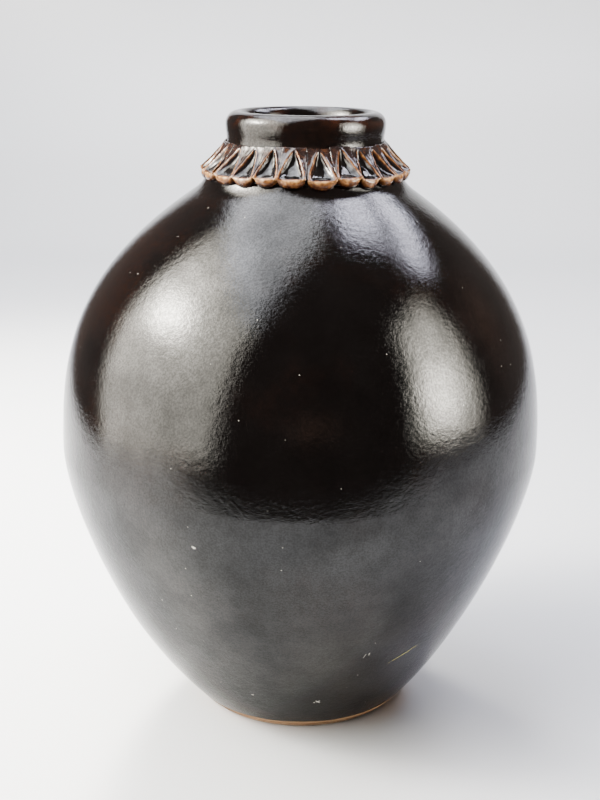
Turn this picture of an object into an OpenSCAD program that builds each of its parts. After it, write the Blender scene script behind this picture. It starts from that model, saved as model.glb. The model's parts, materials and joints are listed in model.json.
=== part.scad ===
// Glazed stoneware jar with a short neck and a collar of pressed clay petals.
// Origin: centre of the foot, on the surface the jar stands on. +Z up, millimetres.

/* [Body] */
// Diameter of the foot where it touches the table
foot_d = 103; // [97:1:109]
// Height of the bare clay foot ring
foot_h = 3.5; // [3:0.5:5]
// Lean of the wall away from upright as it leaves the foot, in degrees
foot_lean = 43.2; // [40:0.2:46]
// Widest diameter, at the belly
belly_d = 238.5; // [230:0.5:246]
// Height of the widest point, where the two thrown sections are joined
belly_z = 138; // [132:1:144]
// Height of the flat seat at the top of the shoulder
shoulder_z = 262; // [259:0.5:263]
// Diameter of the shoulder where the collar starts
shoulder_d = 108.8; // [105:0.2:112]
// Slope of the shoulder below the collar, in degrees from level
shoulder_slope = 35; // [32:1:38]
// Thickness of the thrown wall
wall_t = 7; // [6:0.5:8]
// Thickness of the floor slab
floor_t = 7.5; // [6:0.5:10]

/* [Neck and rim] */
// Height of the whole jar
jar_h = 300; // [298:0.5:303]
// Outside diameter of the neck
neck_d = 77; // [75:0.5:78]
// Diameter of the open throat
throat_d = 55; // [50:0.5:57]
// Height of the seam between the neck and the rolled lip
rim_z = 290; // [289:0.5:291]
// How far the neck draws in under the lip
waist_t = 0.4; // [0:0.1:0.8]
// Radius of the lip's outer corner
lip_r = 5.8; // [5:0.2:6]

/* [Collar and petals] */
// Diameter of the collar at its top
collar_d = 95.8; // [94.8:0.2:96.8]
// Height of the collar's top
collar_z = 269; // [268:0.5:269.5]
// Height at which the points of the petals meet the neck
frill_z = 286; // [284.5:0.5:287]
// Number of petals round the neck
petal_count = 26; // [20:1:30]
// Share of its pitch that a petal fills at its widest
petal_fill = 0.96; // [0.85:0.01:0.98]
// Height of the ridges along a petal's edges, above the band
ridge_t = 2.4; // [1.8:0.1:2.6]
// Thickness of the dished floor of a petal
dish_t = 0.8; // [0.6:0.1:1.2]
// How far the rolled lip of a petal stands out
lobe_t = 2.5; // [2:0.1:2.8]

/* [Hidden] */
foot_r = foot_d / 2;
belly_r = belly_d / 2;
shoulder_r = shoulder_d / 2;
neck_r = neck_d / 2;
throat_r = throat_d / 2;
collar_r = collar_d / 2;

// Trimmed recess under the jar, and the seat of the floor slab on the foot ring
recess_r = foot_r - 10.5;
floor_r = foot_r - 5.5;
floor_z = foot_h + floor_t;
edge_c = 0.4;

// The neck's spigot sits in the shoulder opening
spigot_r = (neck_r + throat_r) / 2 + 1.5;
spigot_z = shoulder_z - wall_t;

// Reach of the curve handles that shape the wall
foot_pull = 58;
belly_pull_down = 23;
belly_pull_up = 48.5;
shoulder_pull = 67.5;

// V seams: half width and depth
seam_w = 1.5;
seam_h = 1.5;

body_steps = 24;
lip_steps = 10;
frill_steps = 9;
facets = 96;

function petal_name(i) = str("petal_", i < 10 ? "0" : "", i);

// Curves, as functions of t from 0 to 1
function cubic(p, t) =
    pow(1 - t, 3) * p[0] + 3 * pow(1 - t, 2) * t * p[1] + 3 * (1 - t) * t * t * p[2] + pow(t, 3) * p[3];
function cubic_run(p, t) =
    pow(1 - t, 2) * (p[1] - p[0]) + 2 * (1 - t) * t * (p[2] - p[1]) + t * t * (p[3] - p[2]);
function quad(p, t) = pow(1 - t, 2) * p[0] + 2 * (1 - t) * t * p[1] + t * t * p[2];
function quad_run(p, t) = (1 - t) * (p[1] - p[0]) + t * (p[2] - p[1]);
// Unit vector square to a run, on its right-hand side
function square_to(v) = [v[1], -v[0]] / norm(v);

// The outline of the wall: [radius, height] handles of its lower and upper curve
glaze_r = foot_r + foot_h * tan(foot_lean);
lower_handles = [
    [glaze_r, foot_h],
    [glaze_r + foot_pull * sin(foot_lean), foot_h + foot_pull * cos(foot_lean)],
    [belly_r, belly_z - belly_pull_down],
    [belly_r, belly_z]
];
upper_handles = [
    [belly_r, belly_z],
    [belly_r, belly_z + belly_pull_up],
    [
        shoulder_r + shoulder_pull * cos(shoulder_slope),
        shoulder_z - shoulder_pull * sin(shoulder_slope)
    ],
    [shoulder_r, shoulder_z]
];
function outside(p) = [for (k = [0:body_steps]) cubic(p, k / body_steps)];
function inside(p) = [
    for (k = [body_steps:-1:0])
        cubic(p, k / body_steps) - wall_t * square_to(cubic_run(p, k / body_steps))
];
seam_r = belly_r - wall_t / 2;
neck_seam_r = (neck_r + throat_r) / 2;

// The face of the applied band, from the points of the petals down to their lips
band_foot = [collar_r - 0.1, collar_z + 2.2];
band_handles = [
    [neck_r, frill_z],
    [neck_r + 1.1, frill_z - 6],
    band_foot
];

// The trimmed ring of bare clay that the jar stands on
module foot_ring() {
    color("tan")
        rotate_extrude($fn = facets)
            polygon([
                [recess_r + edge_c, 0],
                [foot_r - edge_c, 0],
                [foot_r, edge_c],
                [glaze_r, foot_h],
                [recess_r, foot_h],
                [recess_r, edge_c]
            ]);
}

// The slab that closes the bottom
module floor_disc() {
    color([0.09, 0.08, 0.08])
        translate([0, 0, foot_h])
            cylinder(h = floor_t, r = floor_r, $fn = facets);
}

// The lower thrown section, open for the floor slab, with a V groove round its top
module lower_body() {
    inner = [for (p = inside(lower_handles)) if (p[1] > floor_z + edge_c) p];
    color([0.07, 0.06, 0.06])
        rotate_extrude($fn = facets)
            polygon(concat(
                outside(lower_handles),
                [[seam_r + seam_w, belly_z], [seam_r, belly_z - seam_h], [seam_r - seam_w, belly_z]],
                inner,
                [[floor_r, floor_z], [floor_r, foot_h]]
            ));
}

// The upper thrown section, with a V tongue below and a flat seat with an opening above
module upper_body() {
    color([0.07, 0.06, 0.06])
        rotate_extrude($fn = facets)
            polygon(concat(
                outside(upper_handles),
                [[spigot_r, shoulder_z], [spigot_r, spigot_z]],
                inside(upper_handles),
                [[seam_r - seam_w, belly_z], [seam_r, belly_z - seam_h], [seam_r + seam_w, belly_z]]
            ));
}

// The thrown neck: a tube with a spigot below and a V groove above
module neck() {
    color([0.06, 0.05, 0.05])
        rotate_extrude($fn = facets)
            polygon([
                [throat_r, spigot_z],
                [spigot_r, spigot_z],
                [spigot_r, shoulder_z],
                [neck_r, shoulder_z],
                [neck_r, frill_z],
                [neck_r - waist_t, (frill_z + rim_z) / 2],
                [neck_r - waist_t / 2, rim_z],
                [neck_seam_r + seam_w, rim_z],
                [neck_seam_r, rim_z - seam_h],
                [neck_seam_r - seam_w, rim_z],
                [throat_r, rim_z]
            ]);
}

// The thick coil round the foot of the neck, swept up from the shoulder
module collar() {
    side = [
        [shoulder_r, shoulder_z],
        [collar_r + 1.6, shoulder_z + 3],
        [collar_r, collar_z]
    ];
    color([0.08, 0.07, 0.06])
        rotate_extrude($fn = facets)
            polygon(concat(
                [for (k = [0:frill_steps]) quad(side, k / frill_steps)],
                [[neck_r, collar_z], [neck_r, shoulder_z]]
            ));
}

// The rolled lip: a round outer corner and a longer roll down into the throat
module rim() {
    crest_r = neck_r - lip_r;
    roll_w = crest_r - throat_r;
    roll_h = jar_h - rim_z - 1.5;
    color([0.06, 0.05, 0.05])
        rotate_extrude($fn = facets)
            polygon(concat(
                [
                    [throat_r, rim_z],
                    [neck_seam_r - seam_w, rim_z],
                    [neck_seam_r, rim_z - seam_h],
                    [neck_seam_r + seam_w, rim_z],
                    [neck_r - waist_t / 2, rim_z],
                    [neck_r, rim_z + 2]
                ],
                [
                    for (k = [0:lip_steps])
                        let (a = 90 * k / lip_steps)
                            [crest_r + lip_r * cos(a), jar_h - lip_r + lip_r * sin(a)]
                ],
                [
                    for (k = [1:lip_steps])
                        let (a = 90 * k / lip_steps)
                            [crest_r - roll_w * sin(a), jar_h - roll_h + roll_h * cos(a)]
                ]
            ));
}

// The applied strip round the foot of the neck, which backs the petals
module frill_band() {
    color([0.30, 0.20, 0.15])
        rotate_extrude($fn = facets)
            polygon(concat(
                [[neck_r, collar_z], [collar_r - 0.6, collar_z]],
                [for (k = [frill_steps:-1:0]) quad(band_handles, k / frill_steps)]
            ));
}

// One row across a petal: back points on the band, front points over the dish and ridges
function petal_row(p, n, half, dish, ridge, turn) =
    let (
        backs = [-1, -0.5, 0, 0.5, 1],
        fronts = [1, 0.8, 0.45, 0, -0.45, -0.8, -1],
        rises = [0.4 * ridge, ridge, (ridge + 2 * dish) / 3, dish, (ridge + 2 * dish) / 3, ridge, 0.4 * ridge],
        place = function (q, v) [q[0] * cos(turn + v * half), q[0] * sin(turn + v * half), q[1]]
    )
    concat(
        [for (v = backs) place(p, v)],
        [for (k = [0:6]) place(p + rises[k] * n, fronts[k])]
    );

// One pressed petal: a pointed trough that widens down the band to a rolled lip
module petal(turn) {
    pitch = 360 / petal_count;
    tip_half = 1.2;
    wide_half = petal_fill * pitch / 2;
    dished = [
        for (k = [0:frill_steps])
            let (
                t = k / frill_steps,
                half = tip_half + (wide_half - tip_half) * t * (1.3 - 0.3 * t),
                dish = 0.3 + (dish_t - 0.3) * t + (k == frill_steps ? 0.45 * lobe_t : 0)
            )
                petal_row(
                    quad(band_handles, t),
                    -square_to(quad_run(band_handles, t)),
                    half, dish, 0.5 + (ridge_t - 0.5) * t, turn
                )
    ];
    lip = [
        for (s = [[0.9, 0, 0.98, 1], [1.9, -20, 0.82, 0.9], [2.6, -50, 0.5, 0.55]])
            petal_row(
                [band_foot[0] + 0.5, band_foot[1] - s[0]],
                [cos(s[1]), sin(s[1])],
                wide_half * s[2], lobe_t * s[3], lobe_t * s[3] * 0.85, turn
            )
    ];
    rows = concat(dished, lip);
    around = 12;
    last = (len(rows) - 1) * around;
    walls = [
        for (j = [0:len(rows) - 2], i = [0:around - 1])
            let (a = j * around + i, b = j * around + (i + 1) % around)
                each [[a, b, b + around], [a, b + around, a + around]]
    ];
    tops = [for (i = [1:around - 2]) [0, i + 1, i]];
    ends = [for (i = [1:around - 2]) [last, last + i, last + i + 1]];
    color([0.42, 0.25, 0.15])
        polyhedron([for (row = rows) each row], concat(walls, tops, ends));
}

foot_ring();
floor_disc();
lower_body();
upper_body();
neck();
collar();
rim();
frill_band();
for (i = [1:petal_count])
    petal(-90 + (i - 0.5) * 360 / petal_count);
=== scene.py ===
# A glazed stoneware jar with a collar of pressed petals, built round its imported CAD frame.
# Metres, +Z up, the foot's centre at the origin. It stands on a pale table in a daylight studio.
import json
from math import cos, pi, radians, sin, tan

import bpy
import numpy as np
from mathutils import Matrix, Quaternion, Vector

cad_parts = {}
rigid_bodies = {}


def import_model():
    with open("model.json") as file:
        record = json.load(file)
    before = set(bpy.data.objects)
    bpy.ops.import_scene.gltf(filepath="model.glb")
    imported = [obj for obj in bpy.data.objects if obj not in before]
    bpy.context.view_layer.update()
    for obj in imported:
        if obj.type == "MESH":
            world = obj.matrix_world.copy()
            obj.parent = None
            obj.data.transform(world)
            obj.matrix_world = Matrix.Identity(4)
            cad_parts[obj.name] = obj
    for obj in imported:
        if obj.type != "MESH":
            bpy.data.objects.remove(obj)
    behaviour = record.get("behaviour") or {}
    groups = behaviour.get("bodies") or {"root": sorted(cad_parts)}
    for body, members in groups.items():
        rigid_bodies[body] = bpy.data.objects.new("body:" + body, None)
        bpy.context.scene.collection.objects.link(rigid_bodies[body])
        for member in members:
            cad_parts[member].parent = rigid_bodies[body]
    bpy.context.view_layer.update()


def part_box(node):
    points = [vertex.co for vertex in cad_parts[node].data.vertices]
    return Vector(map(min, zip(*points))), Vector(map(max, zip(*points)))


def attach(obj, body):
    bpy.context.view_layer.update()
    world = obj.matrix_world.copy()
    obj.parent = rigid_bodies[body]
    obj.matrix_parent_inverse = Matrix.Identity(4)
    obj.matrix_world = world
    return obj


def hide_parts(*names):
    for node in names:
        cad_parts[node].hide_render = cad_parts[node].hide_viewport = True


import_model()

# Camera: a short telephoto a little above the rim, tipped down to the belly and a touch off level.
CAMERA_ASIDE = -0.0003
CAMERA_BACK = 0.649
CAMERA_HEIGHT = 0.344
CAMERA_TIP = 16.15
CAMERA_LEAN = 0.5

camera = bpy.data.objects.new("camera", bpy.data.cameras.new("camera"))
bpy.context.scene.collection.objects.link(camera)
camera.data.lens = 59.9
camera.data.sensor_width = 36
camera.location = (CAMERA_ASIDE, -CAMERA_BACK, CAMERA_HEIGHT)
camera.rotation_mode = "QUATERNION"
tipped = Quaternion((1, 0, 0), radians(90 - CAMERA_TIP))
camera.rotation_quaternion = tipped @ Quaternion((0, 0, 1), radians(CAMERA_LEAN))
bpy.context.scene.camera = camera

# Studio: a dim room with a tall daylight scrim on the left, a window on the right and skylights
# above and behind. Each is an area light placed by the direction in which the jar sees it.
JAR_MIDDLE = Vector((0, 0, 0.15))
WARM = (1.0, 0.95, 0.84)
COOL = (0.90, 0.90, 1.06)
SKY = (0.95, 0.97, 1.02)
EMBER = (1.0, 0.55, 0.38)
ROOM_TONE = (0.24, 0.20, 0.18, 1)
PALE_WALL = (2.4, 2.4, 2.6, 1)
# Radiance of one unit of brightness, which raises or lowers all the lights together
UNIT_RADIANCE = 1.78


def direction(azimuth, elevation):
    """Unit vector for angles in degrees, with azimuth 0 towards the camera and + to the right."""
    a, e = radians(azimuth), radians(elevation)
    return Vector((sin(a) * cos(e), -cos(a) * cos(e), sin(e)))


def soft_light(name, centre, facing, size, colour, turn=0):
    """A rectangular area light of one unit of brightness. Its centre is measured from the jar's middle."""
    data = bpy.data.lights.new(name, "AREA")
    data.shape = "RECTANGLE"
    data.size, data.size_y = size
    data.energy = UNIT_RADIANCE * pi * size[0] * size[1]
    data.color = colour
    light = bpy.data.objects.new(name, data)
    bpy.context.scene.collection.objects.link(light)
    light.location = JAR_MIDDLE + Vector(centre)
    light.rotation_mode = "QUATERNION"
    away = -Vector(facing).normalized()
    light.rotation_quaternion = Quaternion(away, radians(turn)) @ away.to_track_quat("Z", "Y")
    return light


def node(tree, kind, inputs=(), **settings):
    """A node with its inputs, by position, set to a value or joined to another node's output."""
    made = tree.nodes.new(kind)
    for name, value in settings.items():
        setattr(made, name, value)
    for place, value in enumerate(inputs):
        if isinstance(value, bpy.types.NodeSocket):
            tree.links.new(value, made.inputs[place])
        elif value is not None:
            made.inputs[place].default_value = value
    return made


def maths(tree, operation, *values):
    """One Math node's output."""
    return node(tree, "ShaderNodeMath", values, operation=operation).outputs[0]


def light_pattern(light, base, glows, low_edge=None, high_edge=None, edge_softness=0.02):
    """Shapes a light. Each glow is (radiance, across, up, width, height), in shares of the light.

    An edge is (across at the bottom, across at the top). The light is dark outside its edges."""
    light.data.use_nodes = True
    tree = light.data.node_tree
    place = node(tree, "ShaderNodeNewGeometry").outputs["Parametric"]
    across_here, up_here, _ = node(tree, "ShaderNodeSeparateXYZ", (place,)).outputs
    level = base
    for radiance, across, up, width, height in glows:
        x = maths(tree, "DIVIDE", maths(tree, "SUBTRACT", across_here, across), width)
        y = maths(tree, "DIVIDE", maths(tree, "SUBTRACT", up_here, up), height)
        apart_squared = maths(tree, "ADD", maths(tree, "MULTIPLY", x, x), maths(tree, "MULTIPLY", y, y))
        bell = maths(tree, "EXPONENT", maths(tree, "MULTIPLY", apart_squared, -1.0))
        level = maths(tree, "MULTIPLY_ADD", bell, radiance, level)
    for edge, way in ((low_edge, 1.0), (high_edge, -1.0)):
        if edge:
            line = maths(tree, "MULTIPLY_ADD", up_here, edge[1] - edge[0], edge[0])
            inside = maths(tree, "MULTIPLY", maths(tree, "SUBTRACT", across_here, line), way / edge_softness)
            inside = maths(tree, "MAXIMUM", maths(tree, "ADD", inside, 0.5), 0.0)
            level = maths(tree, "MULTIPLY", level, maths(tree, "MINIMUM", inside, 1.0))
    strength = tree.nodes["Emission"].inputs["Strength"]
    if isinstance(level, bpy.types.NodeSocket):
        tree.links.new(level, strength)
    else:
        strength.default_value = level


# Wall scrim: across runs from the back (0) to the front (1), up from the table's level
scrim = soft_light("left_scrim", (-1.0, -0.35, 0.85), (1, 0, 0), (2.6, 2.1), WARM)
light_pattern(
    scrim,
    6.2,
    [(23, 0.42, 0.57, 0.18, 0.24), (150, 0.415, 0.465, 0.065, 0.07)],
    low_edge=(0.315, 0.135),
    high_edge=(0.838, 0.949),
)
# Skylight: across runs left to right, up runs front to back, and it ends along a slanting beam
skylight = soft_light("skylight", (-0.405, -0.35, 1.9), (0, 0, -1), (1.19, 3.7), SKY)
light_pattern(skylight, 5.5, [(7, 0.03, 0.58, 0.35, 0.2)], high_edge=(-0.454, 2.01))
rear_skylight = soft_light("rear_skylight", (-0.02, 0.47, 1.9), (0, 0, -1), (0.56, 0.24), COOL)
light_pattern(rear_skylight, 19, [])
# Right window: across runs from the front (0) to the back (1)
window = soft_light("right_window", (1.2, -0.53, 0.55), (-1, 0, 0), (0.94, 1.3), WARM)
light_pattern(
    window, 4.0, [(40, 0.52, 0.27, 0.25, 0.21), (9, 0.5, 0.62, 0.4, 0.3)], low_edge=(0.076, 0.26)
)
for name, azimuth, elevation, wide, tall, radiance in (
    ("high_window_low", 123, 48.5, 26, 11, 11),
    ("high_window_high", 124, 66, 16, 15, 15),
):
    away = direction(azimuth, elevation) * 1.6
    size = (3.2 * tan(radians(wide / 2)), 3.2 * tan(radians(tall / 2)))
    pane = soft_light(name, away, -away, size, COOL, turn=-8)
    light_pattern(pane, radiance, [])
# Faint warm tones in the dark of the room, in front of the jar and beside the window
for name, azimuth, elevation, wide, tall, radiance in (
    ("warm_front", 6, 6, 26, 9, 0.75),
    ("warm_side", 112, 20, 34, 40, 0.22),
):
    away = direction(azimuth, elevation) * 1.5
    size = (3.0 * tan(radians(wide / 2)), 3.0 * tan(radians(tall / 2)))
    glow = soft_light(name, away, -away, size, EMBER)
    light_pattern(glow, 0.0, [(radiance, 0.5, 0.5, 0.3, 0.3)])
# Back light: out of view above, behind and to the left, making a pool of light on the table
POOL = Vector((-0.31, 0.38, -0.15))
behind = direction(-160, 30) * 1.5
back_light = soft_light("back_light", behind, POOL - behind, (0.6, 0.5), WARM)
back_light.data.spread = radians(32)
light_pattern(back_light, 4.4, [])

world = bpy.data.worlds.new("dim_room")
bpy.context.scene.world = world
world.use_nodes = True
sky = world.node_tree
room = sky.nodes["Background"]
room.inputs["Color"].default_value = ROOM_TONE
pale = node(sky, "ShaderNodeBackground", (PALE_WALL,))
seen = node(sky, "ShaderNodeLightPath").outputs["Is Camera Ray"]
either = node(sky, "ShaderNodeMixShader", (seen, room.outputs[0], pale.outputs[0]))
sky.links.new(either.outputs[0], sky.nodes["World Output"].inputs[0])

# Table and sweep: one pale sheet that lies flat under the jar and curves up well behind it.
TABLE_FRONT = -0.42
TABLE_LEFT = -0.7
TABLE_RIGHT = 0.94
SWEEP_START = 1.25
SWEEP_RADIUS = 0.45
SWEEP_TOP = 1.7
PAPER = (0.49, 0.505, 0.53, 1)
rows = [(TABLE_FRONT, 0.0), (SWEEP_START, 0.0)]
for step in range(1, 17):
    bend = pi / 2 * step / 16
    rows.append((SWEEP_START + SWEEP_RADIUS * sin(bend), SWEEP_RADIUS * (1 - cos(bend))))
rows.append((SWEEP_START + SWEEP_RADIUS, SWEEP_TOP))
sheet = bpy.data.meshes.new("table_sweep")
sheet.from_pydata(
    [(x, y, z) for y, z in rows for x in (TABLE_LEFT, TABLE_RIGHT)],
    [],
    [(2 * k, 2 * k + 1, 2 * k + 3, 2 * k + 2) for k in range(len(rows) - 1)],
)
sheet.polygons.foreach_set("use_smooth", [True] * len(sheet.polygons))
table = bpy.data.objects.new("table_sweep", sheet)
bpy.context.scene.collection.objects.link(table)


def new_material(name):
    """A material with its node tree and its Principled shader."""
    material = bpy.data.materials.new(name)
    material.use_nodes = True
    return material, material.node_tree, material.node_tree.nodes["Principled BSDF"]


paper, _, paper_shader = new_material("pale_paper")
paper_shader.inputs["Base Color"].default_value = PAPER
paper_shader.inputs["Roughness"].default_value = 0.35
sheet.materials.append(paper)

# Glazed shell: the thrown body, floor, collar, neck and rolled lip. They are luted together, and
# one coat of black-brown glaze runs over all of them, inside and out, so they show as one skin.
FOOT_LEAN = radians(43.2)
FOOT_PULL = 0.058
BELLY_PULL_DOWN = 0.023
BELLY_PULL_UP = 0.0485
SHOULDER_PULL = 0.0675
SHOULDER_SLOPE = radians(35)
COLLAR_RADIUS = 0.0479
UNDER_FRILL = 0.282
WAIST_HEIGHT = 0.2875
WAIST_DRAW = 0.0007
LIP_ROUND = 0.0058
LIP_ROLL = 0.0085
THROAT_RADIUS = 0.0275
THROAT_END = 0.258
WALL = 0.007

foot_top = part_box("foot_ring")[1].z
glaze_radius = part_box("foot_ring")[1].x
foot_radius = glaze_radius - foot_top * tan(FOOT_LEAN)
floor_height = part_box("floor_disc")[1].z
belly_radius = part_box("lower_body")[1].x
belly_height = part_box("lower_body")[1].z
shoulder_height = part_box("upper_body")[1].z
collar_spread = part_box("collar")[1].x
collar_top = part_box("collar")[1].z
neck_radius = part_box("neck")[1].x
jar_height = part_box("rim")[1].z


def bezier(handles, steps):
    """Points of a quadratic or cubic curve through its end handles."""
    t = np.linspace(0, 1, steps + 1)[:, None]
    points = np.repeat(np.array(handles, float)[:, None], steps + 1, axis=1)
    while len(points) > 1:
        points = points[:-1] * (1 - t) + points[1:] * t
    return points[0]


def arc(centre, radius, start, end, steps, tall=1.0):
    """Points round a centre, with angles in degrees from the +radius direction."""
    a = np.radians(np.linspace(start, end, steps + 1))
    return np.column_stack((centre[0] + radius * np.cos(a), centre[1] + tall * radius * np.sin(a)))


def inset(line, thickness):
    """The line moved to its left-hand side, which is the inside of the wall."""
    run = np.gradient(line, axis=0)
    square = np.column_stack((run[:, 1], -run[:, 0])) / np.linalg.norm(run, axis=1)[:, None]
    return line - thickness * square


# Outside of the jar as (radius, height), from the foot up to the lip
underside = np.array([(r, foot_top) for r in (0.0, 0.02, 0.041, 0.0495)])
lower_wall = bezier(
    [
        (glaze_radius, foot_top),
        (glaze_radius + FOOT_PULL * sin(FOOT_LEAN), foot_top + FOOT_PULL * cos(FOOT_LEAN)),
        (belly_radius, belly_height - BELLY_PULL_DOWN),
        (belly_radius, belly_height),
    ],
    64,
)
upper_wall = bezier(
    [
        (belly_radius, belly_height),
        (belly_radius, belly_height + BELLY_PULL_UP),
        (
            collar_spread + SHOULDER_PULL * cos(SHOULDER_SLOPE),
            shoulder_height - SHOULDER_PULL * sin(SHOULDER_SLOPE),
        ),
        (collar_spread, shoulder_height),
    ],
    72,
)
collar_side = bezier(
    [
        (collar_spread, shoulder_height),
        (collar_spread - 0.0030, shoulder_height + 0.0021),
        (COLLAR_RADIUS + 0.0014, shoulder_height + 0.0038),
        (COLLAR_RADIUS, collar_top),
    ],
    12,
)
under_frill = bezier([(COLLAR_RADIUS, collar_top), (0.046, 0.2705), (neck_radius, UNDER_FRILL)], 6)
neck_side = bezier(
    [
        (neck_radius, UNDER_FRILL),
        (neck_radius - 2.2 * WAIST_DRAW, WAIST_HEIGHT),
        (neck_radius, WAIST_HEIGHT + 0.002),
        (neck_radius, jar_height - LIP_ROUND),
    ],
    14,
)
crest = neck_radius - LIP_ROUND
lip_outer = arc((crest, jar_height - LIP_ROUND), LIP_ROUND, 0, 90, 10)
# Inside of the jar, from the crest of the lip down the throat and wall to the middle of the floor
roll_across = crest - THROAT_RADIUS
lip_inner = arc((crest, jar_height - LIP_ROLL), roll_across, 90, 180, 12, LIP_ROLL / roll_across)
throat = np.array([(THROAT_RADIUS, z) for z in np.linspace(jar_height - LIP_ROLL, THROAT_END, 8)])
inside_upper = inset(upper_wall, WALL)[::-3]
inside_lower = inset(lower_wall, WALL)[::-3]
inside_lower = inside_lower[inside_lower[:, 1] > floor_height + 0.001]
floor_line = np.array([(r, floor_height) for r in (0.046, 0.03, 0.015, 0.0)])
turned_line = np.vstack(
    (
        underside, lower_wall, upper_wall[1:], collar_side[1:], under_frill[1:], neck_side[1:],
        lip_outer[1:], lip_inner[1:], throat[1:], inside_upper, inside_lower[1:], floor_line,
    )
)

# How far the turned axis wanders sideways at five heights, as it does on a hand-thrown jar
WANDER = ((0.0, 0.0012), (0.045, -0.0009), (0.146, 0.0), (0.225, 0.0), (0.29, 0.0014))


def wander(z):
    """Sideways shift of the jar's axis at a height."""
    heights, shifts = np.array(WANDER).T
    fine_heights = np.linspace(-0.03, 0.32, 400)
    soft = np.interp(fine_heights, heights, shifts)
    soft = np.convolve(np.pad(soft, 30, "edge"), np.hanning(61) / np.hanning(61).sum(), "valid")
    return np.interp(z, fine_heights, soft)


def template_line(name, line, shift):
    """A turner's template: the outline as a chain of points, with the axis shift kept in y."""
    mesh = bpy.data.meshes.new(name)
    chain = [(k, k + 1) for k in range(len(line) - 1)]
    mesh.from_pydata([(r, shift(z), z) for r, z in line], chain, [])
    return mesh


def product(tree, first, *others):
    """Values multiplied together."""
    for value in others:
        first = maths(tree, "MULTIPLY", first, value)
    return first


def total(tree, first, *others):
    """Values added together."""
    for value in others:
        first = maths(tree, "ADD", first, value)
    return first


def centred(tree, value):
    """A value from 0 to 1 moved to lie from -0.5 to 0.5."""
    return maths(tree, "SUBTRACT", value, 0.5)


def new_tree(name, kind, inputs, outputs):
    """A node group with named sockets. Returns it with its input and output nodes."""
    tree = bpy.data.node_groups.new(name, kind)
    for socket, label, value in inputs:
        made = tree.interface.new_socket(label, in_out="INPUT", socket_type=socket)
        if value is not None:
            made.default_value = value
    for socket, label in outputs:
        tree.interface.new_socket(label, in_out="OUTPUT", socket_type=socket)
    return tree, tree.nodes.new("NodeGroupInput"), tree.nodes.new("NodeGroupOutput")


# The wheel: a template spun round the axis, a little uneven and with faint throwing rings
RING_PITCH = 160.0
AXIS_REACH = 0.001
SEAM_MERGE = 0.000002
wheel, given, result = new_tree(
    "turn_on_the_wheel",
    "GeometryNodeTree",
    [
        ("NodeSocketGeometry", "Template", None),
        ("NodeSocketInt", "Steps around", 288),
        ("NodeSocketInt", "Template points", 2),
        ("NodeSocketFloat", "Unevenness", 0.0003),
        ("NodeSocketFloat", "Unevenness size", 14.0),
        ("NodeSocketFloat", "Throwing ring depth", 0.00002),
        ("NodeSocketMaterial", "Glaze", None),
    ],
    [("NodeSocketGeometry", "Jar")],
)
around = total(wheel, given.outputs["Steps around"], 1)
sheet_grid = node(wheel, "GeometryNodeMeshGrid", (1.0, 1.0, around, given.outputs["Template points"]))
spot = node(wheel, "ShaderNodeSeparateXYZ", (node(wheel, "GeometryNodeInputPosition").outputs[0],))
angle = product(wheel, total(wheel, spot.outputs[0], 0.5), 2 * pi)
east = maths(wheel, "COSINE", angle)
north = maths(wheel, "SINE", angle)
last_point = maths(wheel, "SUBTRACT", given.outputs["Template points"], 1)
point = maths(wheel, "ROUND", product(wheel, total(wheel, spot.outputs[1], 0.5), last_point))
follow = node(wheel, "GeometryNodeSampleIndex", data_type="FLOAT_VECTOR")
wheel.links.new(given.outputs["Template"], follow.inputs["Geometry"])
wheel.links.new(node(wheel, "GeometryNodeInputPosition").outputs[0], follow.inputs["Value"])
wheel.links.new(point, follow.inputs["Index"])
radius, shift, level = node(wheel, "ShaderNodeSeparateXYZ", (follow.outputs[0],)).outputs
x_turned = product(wheel, radius, east)
y_turned = product(wheel, radius, north)
turned = node(wheel, "ShaderNodeCombineXYZ", (x_turned, y_turned, level))
uneven = node(wheel, "ShaderNodeTexNoise", noise_dimensions="3D")
wheel.links.new(turned.outputs[0], uneven.inputs["Vector"])
wheel.links.new(given.outputs["Unevenness size"], uneven.inputs["Scale"])
uneven.inputs["Detail"].default_value = 1.0
rings = node(wheel, "ShaderNodeTexNoise", noise_dimensions="1D")
wheel.links.new(level, rings.inputs["W"])
rings.inputs["Scale"].default_value = RING_PITCH
rings.inputs["Detail"].default_value = 0.0
swell = total(
    wheel,
    product(wheel, centred(wheel, uneven.outputs[0]), given.outputs["Unevenness"]),
    product(wheel, centred(wheel, rings.outputs[0]), given.outputs["Throwing ring depth"]),
)
off_axis = maths(wheel, "GREATER_THAN", radius, AXIS_REACH)
grown = total(wheel, radius, product(wheel, swell, off_axis))
x_place = total(wheel, product(wheel, grown, east), shift)
shifted = node(wheel, "ShaderNodeCombineXYZ", (x_place, product(wheel, grown, north), level))
placed = node(wheel, "GeometryNodeSetPosition")
wheel.links.new(sheet_grid.outputs[0], placed.inputs["Geometry"])
wheel.links.new(shifted.outputs[0], placed.inputs["Position"])
closed = node(wheel, "GeometryNodeMergeByDistance")
wheel.links.new(placed.outputs[0], closed.inputs["Geometry"])
closed.inputs["Distance"].default_value = SEAM_MERGE
smooth = node(wheel, "GeometryNodeSetShadeSmooth", (closed.outputs[0],))
real = node(wheel, "GeometryNodeRealizeInstances", (smooth.outputs[0],))
glazed = node(wheel, "GeometryNodeSetMaterial", (real.outputs[0],))
wheel.links.new(given.outputs["Glaze"], glazed.inputs["Material"])
wheel.links.new(glazed.outputs[0], result.inputs[0])


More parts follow.
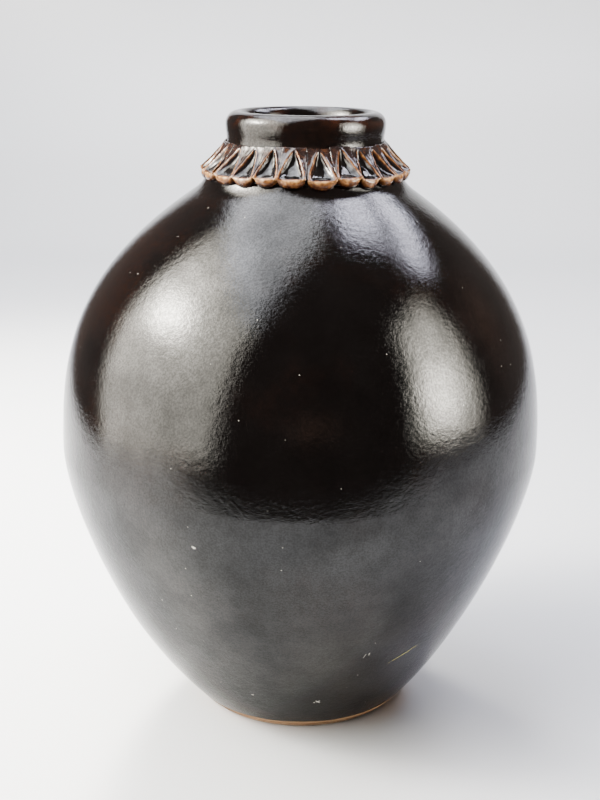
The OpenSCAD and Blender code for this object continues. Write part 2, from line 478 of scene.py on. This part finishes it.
def run_tree(name, source, tree, values):
    """Runs a geometry tree on a mesh and returns a new object that holds the plain result."""
    maker = bpy.data.objects.new(name + "_maker", source)
    bpy.context.scene.collection.objects.link(maker)
    modifier = maker.modifiers.new(name, "NODES")
    modifier.node_group = tree
    for item in tree.interface.items_tree:
        if item.item_type == "SOCKET" and item.in_out == "INPUT" and item.name in values:
            modifier[item.identifier] = values[item.name]
    graph = bpy.context.evaluated_depsgraph_get()
    mesh = bpy.data.meshes.new_from_object(maker.evaluated_get(graph))
    mesh.name = name
    bpy.data.objects.remove(maker)
    piece = bpy.data.objects.new(name, mesh)
    bpy.context.scene.collection.objects.link(piece)
    return piece


def noise(tree, place, scale, detail=2.0, roughness=0.5):
    """A noise texture's value at a place."""
    made = tree.nodes.new("ShaderNodeTexNoise")
    tree.links.new(place, made.inputs["Vector"])
    for label, value in (("Scale", scale), ("Detail", detail), ("Roughness", roughness)):
        if isinstance(value, bpy.types.NodeSocket):
            tree.links.new(value, made.inputs[label])
        else:
            made.inputs[label].default_value = value
    return made.outputs[0]


def remap(tree, value, low, high, to_low, to_high):
    """A value mapped softly from one range to another and held inside it."""
    levels = (value, low, high, to_low, to_high)
    return node(tree, "ShaderNodeMapRange", levels, interpolation_type="SMOOTHSTEP").outputs[0]


# Patches: the soft uneven variation that both the glaze and the bare clay show
patchy, patchy_in, patchy_out = new_tree(
    "patchy",
    "ShaderNodeTree",
    [
        ("NodeSocketVector", "Place", None),
        ("NodeSocketFloat", "Scale", 100.0),
        ("NodeSocketFloat", "Detail", 2.0),
        ("NodeSocketFloat", "Roughness", 0.5),
        ("NodeSocketFloat", "From low", 0.35),
        ("NodeSocketFloat", "From high", 0.65),
        ("NodeSocketFloat", "To low", 0.0),
        ("NodeSocketFloat", "To high", 1.0),
    ],
    [("NodeSocketFloat", "Value")],
)
unmapped = noise(patchy, *patchy_in.outputs[0:4])
patchy.links.new(remap(patchy, unmapped, *patchy_in.outputs[4:8]), patchy_out.inputs[0])


def patches(tree, place, scale, detail, roughness, between, to):
    """Patches of a scale (per metre), where noise between two levels runs between two values."""
    values = (place, scale, detail, roughness, *between, *to)
    return node(tree, "ShaderNodeGroup", values, node_tree=patchy).outputs[0]


def blend(tree, share, first, second):
    """Two colours mixed by a share."""
    made = tree.nodes.new("ShaderNodeMix")
    made.data_type = "RGBA"
    tree.links.new(share, made.inputs["Factor"])
    for socket, value in ((made.inputs[6], first), (made.inputs[7], second)):
        if isinstance(value, bpy.types.NodeSocket):
            tree.links.new(value, socket)
        else:
            socket.default_value = value
    return made.outputs[2]


def relief(tree, height, strength, distance):
    """The normal that a height gives a surface, at a strength and a depth in metres."""
    made = node(tree, "ShaderNodeBump")
    tree.links.new(height, made.inputs["Height"])
    made.inputs["Strength"].default_value = strength
    made.inputs["Distance"].default_value = distance
    return made.outputs[0]


def mark(tree, place, centre, half_size, turn, ragged):
    """A small mark on the glaze: a stretched spot with a ragged edge."""
    local = node(tree, "ShaderNodeMapping", vector_type="TEXTURE")
    tree.links.new(place, local.inputs["Vector"])
    local.inputs["Location"].default_value = centre
    local.inputs["Rotation"].default_value = (0, radians(turn), 0)
    local.inputs["Scale"].default_value = half_size
    span = node(tree, "ShaderNodeVectorMath", (local.outputs[0],), operation="LENGTH").outputs["Value"]
    frayed = total(tree, span, product(tree, noise(tree, place, 900.0), ragged))
    return remap(tree, frayed, 0.75, 1.25, 1.0, 0.0)


BLACK = (0.0008, 0.0006, 0.0006, 1)
BROWN = (0.0030, 0.0013, 0.0009, 1)
DRY_BROWN = (0.0055, 0.0042, 0.0030, 1)
RUST = (0.030, 0.009, 0.004, 1)
DUST = (0.34, 0.33, 0.30, 1)
YELLOW = (0.20, 0.19, 0.035, 1)
BARE_EDGE = (0.28, 0.165, 0.085, 1)
DRY_FROM = 0.16
DRY_AT = 0.04
SPECK_CELLS = 165.0
SPECK_EDGE = 0.045
SPECK_CORE = 0.025
GLAZE_STOP = 0.0054
GLAZE_RUN = 0.0016
GLAZE_IOR = 1.353
# Knocks and scratches in the glaze: centre, half size, turn in degrees and raggedness
NICKS = (
    ((-0.0464, -0.1068, 0.1192), (0.0017, 0.006, 0.0008), 35, 0.9),
    ((-0.0220, -0.0714, 0.0284), (0.0012, 0.006, 0.0006), 10, 1.0),
    ((0.0094, -0.0718, 0.0252), (0.0024, 0.006, 0.0006), 40, 1.0),
    ((0.0098, -0.0718, 0.0254), (0.0020, 0.006, 0.0005), -35, 1.0),
    ((0.0078, -0.0716, 0.0246), (0.0007, 0.006, 0.0005), 0, 1.0),
    ((0.0308, -0.0865, 0.0569), (0.0022, 0.006, 0.0003), -62, 1.0),
    ((0.0330, -0.0866, 0.0580), (0.0018, 0.006, 0.0003), -66, 1.0),
)
HAIR = ((0.0506, -0.0725, 0.0518), (0.0145, 0.02, 0.00045), -27, 1.0)

surface, surface_in, surface_out = new_tree(
    "fired_glaze",
    "ShaderNodeTree",
    [("NodeSocketVector", "Place", None)],
    [("NodeSocketColor", "Colour"), ("NodeSocketFloat", "Roughness"), ("NodeSocketFloat", "Height")],
)
here = surface_in.outputs[0]
height_up = node(surface, "ShaderNodeSeparateXYZ", (here,)).outputs[2]
# Black glaze that clouds into brown
browned = product(
    surface,
    patches(surface, here, scale=17.0, detail=3.0, roughness=0.55, between=(0.46, 0.68), to=(0.0, 1.0)),
    patches(surface, here, scale=330.0, detail=3.0, roughness=0.6, between=(0.35, 0.65), to=(0.35, 1.0)),
)
colour = blend(surface, browned, BLACK, BROWN)
# Low on the jar the glaze is drier: a greyish, slightly duller skin with darker worn patches
low_down = remap(surface, height_up, DRY_FROM, DRY_AT, 0.0, 1.0)
worn = patches(surface, here, scale=26.0, detail=5.0, roughness=0.65, between=(0.45, 0.62), to=(0.0, 1.0))
dull = product(surface, low_down, worn)
colour = blend(surface, product(surface, dull, 0.55), colour, DRY_BROWN)
# Pinholes and dust specks, each in its own cell, with more specks low down
cells = node(surface, "ShaderNodeTexVoronoi", voronoi_dimensions="3D", feature="F1")
surface.links.new(here, cells.inputs["Vector"])
cells.inputs["Scale"].default_value = SPECK_CELLS
dots = remap(surface, cells.outputs["Distance"], SPECK_EDGE, SPECK_CORE, 0.0, 1.0)
lot = node(surface, "ShaderNodeSeparateXYZ", (cells.outputs["Color"],)).outputs[0]
speck_from = maths(surface, "MULTIPLY_ADD", low_down, -0.2, 0.66)
specks = product(surface, dots, maths(surface, "GREATER_THAN", lot, speck_from))
pits = product(surface, dots, maths(surface, "LESS_THAN", lot, 0.3))
colour = blend(surface, product(surface, specks, 0.7), colour, DUST)
# Knocks, scratches and one fine yellow hair low on the front
nicks = 0.0
for centre, half_size, turn, ragged in NICKS:
    nicks = maths(surface, "MAXIMUM", nicks, mark(surface, here, centre, half_size, turn, ragged))
colour = blend(surface, nicks, colour, DUST)
colour = blend(surface, product(surface, mark(surface, here, *HAIR), 0.8), colour, YELLOW)
rough = total(
    surface,
    patches(surface, here, scale=38.0, detail=4.0, roughness=0.6, between=(0.35, 0.7), to=(0.05, 0.095)),
    product(surface, dull, 0.07),
    product(surface, maths(surface, "MAXIMUM", nicks, specks), 0.4),
)
# Where the glaze breaks thin on the lip it shows rust
lip_break = product(
    surface,
    remap(surface, height_up, 0.2915, 0.2965, 0.0, 1.0),
    patches(surface, here, scale=90.0, detail=3.0, roughness=0.5, between=(0.5, 0.72), to=(0.0, 0.32)),
)
colour = blend(surface, lip_break, colour, RUST)
# It stops short of the foot on bare clay, along a slightly uneven line
run_down = noise(surface, here, 60.0)
glaze_end = maths(surface, "MULTIPLY_ADD", run_down, GLAZE_RUN, GLAZE_STOP - GLAZE_RUN / 2)
bare = remap(surface, maths(surface, "SUBTRACT", height_up, glaze_end), -0.0002, 0.0003, 1.0, 0.0)
colour = blend(surface, bare, colour, BARE_EDGE)
rough = maths(surface, "MULTIPLY_ADD", bare, 0.55, rough)
# Orange peel: long swells, dimples and fine grain, with the pits sunk and the specks raised
height = total(
    surface,
    product(surface, noise(surface, here, 820.0, 3.0, 0.7), 0.5),
    product(surface, noise(surface, here, 380.0, 1.0), 0.6),
    product(surface, noise(surface, here, 2100.0, 1.0), 0.34),
    product(surface, pits, -0.5),
    product(surface, specks, 0.3),
)
surface.links.new(colour, surface_out.inputs["Colour"])
surface.links.new(rough, surface_out.inputs["Roughness"])
surface.links.new(height, surface_out.inputs["Height"])

black_glaze, glaze, glaze_shader = new_material("black_glaze")
glaze_shader.inputs["IOR"].default_value = GLAZE_IOR
where = node(glaze, "ShaderNodeTexCoord").outputs["Object"]
fired = node(glaze, "ShaderNodeGroup", (where,), node_tree=surface)
peel = relief(glaze, fired.outputs["Height"], strength=0.205, distance=0.0006)
glaze.links.new(fired.outputs["Colour"], glaze_shader.inputs["Base Color"])
glaze.links.new(fired.outputs["Roughness"], glaze_shader.inputs["Roughness"])
glaze.links.new(peel, glaze_shader.inputs["Normal"])
# The gloss is cloudy and freckled, and duller low down, where the glaze is dry. Near the foot it is
# dimmed further as painted shade, and it is weaker low on the left flank
x_across, _, z_up = node(glaze, "ShaderNodeSeparateXYZ", (where,)).outputs
weaker_left_flank = product(
    glaze, remap(glaze, x_across, -0.03, -0.095, 0.0, 0.5), remap(glaze, z_up, 0.150, 0.105, 0.0, 1.0)
)
# Painted shade: the reflection is dimmed near the foot, where the jar shades the table
painted_foot_shade = remap(glaze, z_up, 0.060, 0.020, 0.0, 0.62)
shine = product(
    glaze,
    remap(glaze, noise(glaze, where, 55.0, 5.0, 0.62), 0.32, 0.68, 0.80, 1.20),
    remap(glaze, noise(glaze, where, 19.0, 3.0, 0.6), 0.3, 0.7, 0.88, 1.12),
    remap(glaze, noise(glaze, where, 1150.0, 2.0, 0.6), 0.34, 0.66, 0.40, 0.60),
    maths(glaze, "MULTIPLY_ADD", remap(glaze, z_up, DRY_FROM, DRY_AT, 0.0, 1.0), -0.32, 1.0),
    maths(glaze, "SUBTRACT", 1.0, maths(glaze, "MAXIMUM", weaker_left_flank, painted_foot_shade)),
)
glaze.links.new(shine, glaze_shader.inputs["Specular IOR Level"])

shell = run_tree(
    "glazed_shell",
    template_line("turned_line", turned_line, wander),
    wheel,
    {"Steps around": 288, "Template points": len(turned_line), "Glaze": black_glaze},
)
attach(shell, "root")
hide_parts("floor_disc", "lower_body", "upper_body", "collar", "neck", "rim")

# Foot ring: the bare stoneware ring the jar stands on, trimmed on the wheel and wiped clean of
# glaze, with a recess turned out underneath. Its clay is buff and gritty, with painted shade in a dark band
# along its top, under the glazed body.
RECESS_RADIUS = 0.041
SEAT_GAP = 0.0001
SEAT_LAP = 0.0003
BUFF = (0.36, 0.24, 0.14, 1)
DARK_BUFF = (0.22, 0.125, 0.065, 1)
GRIT = (0.10, 0.06, 0.035, 1)
GAP_SHADE_BROWN = (0.15, 0.055, 0.018, 1)
foot_line = np.array(
    [
        (0.0, foot_top - SEAT_GAP),
        (0.0200, foot_top - SEAT_GAP),
        (RECESS_RADIUS - 0.0008, foot_top - SEAT_GAP),
        (RECESS_RADIUS, foot_top - 0.0008),
        (RECESS_RADIUS + 0.0002, 0.0008),
        (RECESS_RADIUS + 0.0010, 0.0),
        (0.0460, 0.0),
        (foot_radius - 0.0008, 0.0),
        (foot_radius - 0.0001, 0.0004),
        (foot_radius + 0.0014, 0.0020),
        (glaze_radius - 0.0001, foot_top - SEAT_GAP),
        (glaze_radius - 0.0012, foot_top + SEAT_LAP),
        (0.0200, foot_top + SEAT_LAP),
        (0.0, foot_top + SEAT_LAP),
    ]
)
bare_clay, clay, clay_shader = new_material("bare_clay")
clay_place = node(clay, "ShaderNodeTexCoord").outputs["Object"]
clay_up = node(clay, "ShaderNodeSeparateXYZ", (clay_place,)).outputs[2]
grit = noise(clay, clay_place, 900.0, 4.0, 0.7)
darker = patches(clay, clay_place, scale=70.0, detail=3.0, roughness=0.6, between=(0.35, 0.68), to=(0.0, 1.0))
buff = blend(clay, darker, BUFF, DARK_BUFF)
buff = blend(clay, remap(clay, grit, 0.55, 0.75, 0.0, 0.6), buff, GRIT)
# Painted shade: a dark brown band along the top of the foot, where it tucks under the glazed body
painted_gap_shade = remap(clay, clay_up, foot_top - 0.0014, foot_top - 0.0003, 0.0, 1.0)
buff = blend(clay, painted_gap_shade, buff, GAP_SHADE_BROWN)
clay.links.new(buff, clay_shader.inputs["Base Color"])
clay_shader.inputs["Roughness"].default_value = 0.85
clay.links.new(relief(clay, grit, strength=0.6, distance=0.0004), clay_shader.inputs["Normal"])
foot = run_tree(
    "foot",
    template_line("foot_line", foot_line, lambda z: wander(0.0)),
    wheel,
    {"Steps around": 192, "Template points": len(foot_line), "Glaze": bare_clay},
)
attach(foot, "root")
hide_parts("foot_ring")

# Petal frill: a moulded band luted round the neck's foot, with 26 petals pressed from one wooden
# stamp. Each is a flat land with a scooped hollow and a thick rounded lip. The glaze runs thin on
# every ridge and breaks to rust and cream there.
PETAL_COUNT = 26
HALF_ANGLE = pi / PETAL_COUNT
PETAL_FILL = 1.012
PETAL_TOP = 0.286
PETAL_LEVEL = 0.28
LAND_END = (0.0504, 0.2726)
LAND = ((neck_radius, PETAL_TOP), (0.0410, 0.281), LAND_END)
LIP = (LAND_END, (0.0505, 0.2710), (0.0502, 0.2698), (0.0494, 0.2686), (0.0480, 0.2684), (0.0470, 0.2690))
BACK = ((0.0465, 0.2705), (0.0440, 0.2740), (0.0400, 0.2790), (0.0370, 0.2850))
SCOOP_DEPTH = 0.0021
SCOOP_START = 0.1
SCOOP_ALONG = (0, SCOOP_START, 0.35, 0.6, 0.85, 1.0)
SCOOP_SHARE = (0, 0, 0.75, 1.0, 0.75, 0.12)
LOBE_RISE = 0.0028
LOBE_DRAW = 0.0022
LOBE_GAP = 0.14
RIDGE = 0.0005
RIDGE_WIDTH = 0.12
FRILL_SHIFT = 0.0014
BAND_SINK = 0.0008


def petal_mesh(columns, land_rows, lip_rows):
    """One petal as a closed solid, on the +X side, with its colour break stored as "thin"."""
    across = np.linspace(-1, 1, columns)
    land = bezier(LAND, land_rows)
    along = np.linspace(0, 1, land_rows + 1)
    share = np.clip((along - SCOOP_START) / (1 - SCOOP_START), 0, 1)
    half_scoop = 0.03 + 0.90 * share**0.8
    deep = np.interp(along, SCOOP_ALONG, SCOOP_SHARE) * SCOOP_DEPTH
    taper = np.interp(along, (0, 0.82, 1.0), (1.0, 1.0, 1 - LOBE_GAP / 2))
    run = np.gradient(land, axis=0)
    out = np.column_stack((-run[:, 1], run[:, 0])) / np.linalg.norm(run, axis=1)[:, None]
    lip_line = np.array(LIP)
    lip_at = np.linspace(0, len(LIP) - 1, lip_rows + 1)[1:]
    lip = np.column_stack([np.interp(lip_at, range(len(LIP)), lip_line[:, k]) for k in (0, 1)])
    verts, thin = [], []
    for row, (r, z) in enumerate(land):
        for s in across:
            inside = np.clip(abs(s) / max(half_scoop[row], 0.02), 0, 1.0)
            dip = deep[row] * (1 - inside**3.0)
            ridge = np.exp(-(((abs(s) - half_scoop[row]) / RIDGE_WIDTH) ** 2)) * min(1.0, along[row] * 5)
            lift = RIDGE * ridge - dip
            lip_top = np.exp(-(((along[row] - 0.99) / 0.045) ** 2))
            on_land = float(abs(s) > half_scoop[row])
            verts.append((r + out[row, 0] * lift, z + out[row, 1] * lift, s * taper[row]))
            thin.append(max(0.85 * ridge, 0.95 * lip_top, 0.43 * on_land))
    for row, (r, z) in enumerate(lip):
        low = (row + 1) / lip_rows
        for s in across:
            pull = abs(s) ** 2.6
            drawn = s * (1 - LOBE_GAP * (0.5 + 0.5 * low))
            verts.append((r - LOBE_DRAW * pull * min(1.0, 0.5 + low), z + LOBE_RISE * pull * low, drawn))
            thin.append(0.93 - 0.66 * low)
    for r, z in BACK:
        for s in across:
            verts.append((r, z, s * (1 - LOBE_GAP)))
            thin.append(0.0)
    reach, level, side = np.array(verts).T
    angle = side * HALF_ANGLE * PETAL_FILL
    points = np.column_stack((reach * np.cos(angle), reach * np.sin(angle), level - PETAL_LEVEL))
    rows = len(points) // columns
    faces = []
    for row in range(rows):
        this, below = row * columns, (row + 1) % rows * columns
        for k in range(columns - 1):
            faces.append((this + k, below + k, below + k + 1, this + k + 1))
    for side_column in (0, columns - 1):
        rim = [row * columns + side_column for row in range(rows)]
        for k in range(rows // 2 - 1):
            quad = (rim[k], rim[rows - 1 - k], rim[rows - 2 - k], rim[k + 1])
            faces.append(quad if side_column == 0 else quad[::-1])
    mesh = bpy.data.meshes.new("petal_stamp")
    mesh.from_pydata([tuple(p) for p in points], [], faces)
    attribute = mesh.attributes.new("thin", "FLOAT", "POINT")
    attribute.data.foreach_set("value", np.array(thin, dtype=np.float32))
    mesh.polygons.foreach_set("use_smooth", [True] * len(mesh.polygons))
    return mesh


stamp = bpy.data.objects.new("petal_stamp", petal_mesh(columns=25, land_rows=26, lip_rows=9))
bpy.context.scene.collection.objects.link(stamp)

press, press_in, press_out = new_tree(
    "press_petals",
    "GeometryNodeTree",
    [
        ("NodeSocketGeometry", "Places", None),
        ("NodeSocketObject", "Stamp", None),
        ("NodeSocketFloat", "Unevenness", 0.0008),
        ("NodeSocketMaterial", "Glaze", None),
    ],
    [("NodeSocketGeometry", "Petals")],
)


def place_value(label):
    """A number stored on each petal's place."""
    made = node(press, "GeometryNodeInputNamedAttribute", data_type="FLOAT")
    made.inputs["Name"].default_value = label
    return made.outputs[0]


stamped = node(press, "GeometryNodeObjectInfo")
press.links.new(press_in.outputs["Stamp"], stamped.inputs["Object"])
pose = node(press, "ShaderNodeCombineXYZ", (0.0, place_value("lean"), place_value("turn")))
spread = node(press, "ShaderNodeCombineXYZ", (1.0, place_value("width"), 1.0))
copies = node(press, "GeometryNodeInstanceOnPoints")
press.links.new(press_in.outputs["Places"], copies.inputs["Points"])
press.links.new(stamped.outputs["Geometry"], copies.inputs["Instance"])
press.links.new(pose.outputs[0], copies.inputs["Rotation"])
press.links.new(spread.outputs[0], copies.inputs["Scale"])
pressed = node(press, "GeometryNodeRealizeInstances", (copies.outputs[0],))
hand = node(press, "ShaderNodeTexNoise", noise_dimensions="3D")
press.links.new(node(press, "GeometryNodeInputPosition").outputs[0], hand.inputs["Vector"])
hand.inputs["Scale"].default_value = 190.0
hand.inputs["Detail"].default_value = 2.0
nudge = node(press, "ShaderNodeVectorMath", (hand.outputs["Color"], (0.5, 0.5, 0.5)), operation="SUBTRACT")
moved = node(press, "ShaderNodeVectorMath", (nudge.outputs[0],), operation="SCALE")
press.links.new(press_in.outputs["Unevenness"], moved.inputs["Scale"])
shaped = node(press, "GeometryNodeSetPosition")
press.links.new(pressed.outputs[0], shaped.inputs["Geometry"])
press.links.new(moved.outputs[0], shaped.inputs["Offset"])
coated = node(press, "GeometryNodeSetMaterial", (shaped.outputs[0],))
press.links.new(press_in.outputs["Glaze"], coated.inputs["Material"])
press.links.new(coated.outputs[0], press_out.inputs[0])

# Thin glaze from where it pools (0.2) to where it breaks on an edge (1.0)
THIN_IOR = 1.36
THIN_SHADES = (
    (0.20, (0.0025, 0.002, 0.002, 1)),
    (0.45, (0.010, 0.0055, 0.005, 1)),
    (0.64, (0.034, 0.0125, 0.0055, 1)),
    (0.82, (0.105, 0.043, 0.013, 1)),
    (1.00, (0.27, 0.155, 0.066, 1)),
)
thin_glaze, coat, coat_shader = new_material("thin_glaze")
coat_shader.inputs["IOR"].default_value = THIN_IOR
spots = node(coat, "ShaderNodeTexCoord").outputs["Object"]
thinness = node(coat, "ShaderNodeAttribute", attribute_name="thin").outputs["Fac"]
mottle = noise(coat, spots, 430.0, 3.0)
broken = maths(coat, "MULTIPLY_ADD", centred(coat, mottle), 0.75, thinness)
shades = node(coat, "ShaderNodeValToRGB", (broken,))
ramp = shades.color_ramp
ramp.elements[0].position, ramp.elements[0].color = THIN_SHADES[0]
ramp.elements[1].position, ramp.elements[1].color = THIN_SHADES[-1]
for place, shade in THIN_SHADES[1:-1]:
    ramp.elements.new(place).color = shade
coat.links.new(shades.outputs[0], coat_shader.inputs["Base Color"])
coat.links.new(maths(coat, "MULTIPLY_ADD", broken, 0.13, 0.08), coat_shader.inputs["Roughness"])
duller = remap(coat, noise(coat, spots, 260.0, 4.0, 0.65), 0.35, 0.65, 0.80, 0.30)
coat.links.new(duller, coat_shader.inputs["Specular IOR Level"])
coat.links.new(relief(coat, mottle, strength=0.16, distance=0.0003), coat_shader.inputs["Normal"])

# Places of the front petals as they were pressed, then even ones round the back
FRONT_TURNS = (-67.4, -50.5, -36.1, -21.8, -7.7, 8.85, 23.8, 37.3, 50.7, 62.8, 75.1)
LEAN_MOST = 0.012
back_count = PETAL_COUNT - len(FRONT_TURNS)
back_turns = np.linspace(FRONT_TURNS[-1], 360 + FRONT_TURNS[0], back_count + 2)[1:-1]
turns = np.concatenate((FRONT_TURNS, back_turns))
ordered = np.concatenate(([turns[-1] - 360], turns, [turns[0] + 360]))
gaps = np.diff(ordered)
room_each = np.maximum(gaps[1:], gaps[:-1])
vary = np.random.default_rng(7)
places = bpy.data.meshes.new("petal_places")
places.from_pydata([(FRILL_SHIFT, 0, PETAL_LEVEL)] * PETAL_COUNT, [], [])
for label, values in (
    ("turn", np.radians(turns - 90)),
    ("width", room_each / (360 / PETAL_COUNT)),
    ("lean", vary.uniform(-LEAN_MOST, LEAN_MOST, PETAL_COUNT)),
):
    places.attributes.new(label, "FLOAT", "POINT").data.foreach_set("value", values.astype(np.float32))
petals = run_tree("petals", places, press, {"Stamp": stamp, "Glaze": thin_glaze})
bpy.data.objects.remove(stamp)
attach(petals, "root")
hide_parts(*[f"petal_{k:02d}" for k in range(1, PETAL_COUNT + 1)])

# The band behind the petals, from its hidden foot up to the neck and back down inside the clay
BAND_INSIDE = 0.0360
BAND_FOOT = 0.2690
band_face = bezier([(neck_radius, PETAL_TOP), (neck_radius + 0.0011, 0.280), (0.0478, 0.2712)], 14)
band_line = np.vstack(
    (
        [(0.0450, BAND_FOOT), (0.0466, 0.2692)],
        inset(band_face[::-1], BAND_SINK),
        [(0.0372, 0.2865), (BAND_INSIDE, 0.2865), (BAND_INSIDE, BAND_FOOT), (0.0450, BAND_FOOT)],
    )
)
band = run_tree(
    "petal_band",
    template_line("band_line", band_line, lambda z: FRILL_SHIFT),
    wheel,
    {"Steps around": 288, "Template points": len(band_line), "Glaze": thin_glaze},
)
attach(band, "root")
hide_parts("frill_band")

# The window is flagged off the table, so the jar's shadow stays on that side
jar_only = bpy.data.collections.new("lit_by_window")
for thing in bpy.context.scene.objects:
    if thing.type == "MESH" and thing not in (table, foot):
        jar_only.objects.link(thing)
window.light_linking.receiver_collection = jar_only
# The back light is flagged off the jar, so it lights only the table
table_only = bpy.data.collections.new("lit_by_back_light")
table_only.objects.link(table)
back_light.light_linking.receiver_collection = table_only
